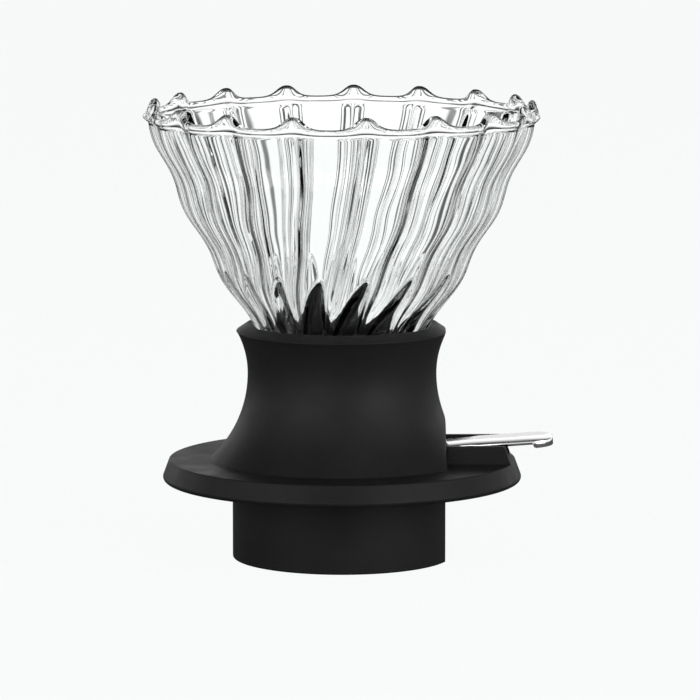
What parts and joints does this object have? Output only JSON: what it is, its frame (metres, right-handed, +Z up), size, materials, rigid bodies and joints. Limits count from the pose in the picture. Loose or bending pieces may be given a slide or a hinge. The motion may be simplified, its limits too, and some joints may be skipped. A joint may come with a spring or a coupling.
{
  "type": "pour over dripper",
  "caption": "Immersion pour-over coffee dripper: fluted clear glass cone in a black waisted base, with a ball valve opened by a steel thumb lever.",
  "frame": {"origin": "on the axis of the cone, at the bottom edge of the locating skirt", "axes": "+Z up along the cone's axis, +X towards the thumb lever, -Y the front"},
  "size_m": [0.1229, 0.1185, 0.138],
  "materials": {
    "clear_glass": "polished",
    "collar_rubber": "matte silicone",
    "frame_plastic": "moulded",
    "seal_rubber": "translucent grey silicone",
    "ball_steel": "polished stainless steel",
    "base_plastic": "fine matte",
    "skirt_plastic": "fine matte",
    "screw_steel": "plain stainless steel",
    "lever_steel": "polished stainless steel",
    "washer_plastic": "natural acetal"
  },
  "bodies": {
    "base": {"silicone_collar": "collar_rubber", "cone_cradle": "frame_plastic", "neck_seal": "seal_rubber", "valve_seat": "seal_rubber", "drain_spout": "frame_plastic", "base_flange": "base_plastic", "server_skirt": "skirt_plastic", "skirt_screws": "screw_steel", "cradle_screws": "screw_steel", "pivot_pin": "screw_steel", "pivot_washers": "washer_plastic", "pivot_clips": "screw_steel"},
    "lever": {"lever_plate": "lever_steel", "lift_arm": "frame_plastic", "arm_rivets": "lever_steel"},
    "ball": {"valve_ball": "ball_steel"},
    "glass": {"glass_cone": "clear_glass"}
  },
  "joints": [
    {"name": "lever_press", "type": "hinge", "parent": "base", "child": "lever", "pos_m": [0.025, 0, 0.0306], "axis": [0, 1, 0], "range_deg": [0, 10]},
    {"name": "ball_lift", "type": "slide", "parent": "base", "child": "ball", "axis": [0, 0, 1], "range_m": [0, 0.0045]},
    {"name": "glass_lift_out", "type": "slide", "parent": "base", "child": "glass", "axis": [0, 0, 1], "range_m": [0, 0.075]}
  ],
  "couplings": [
    {"joint": "ball_lift", "follows": "lever_press", "m_per_rad": 0.025}
  ]
}
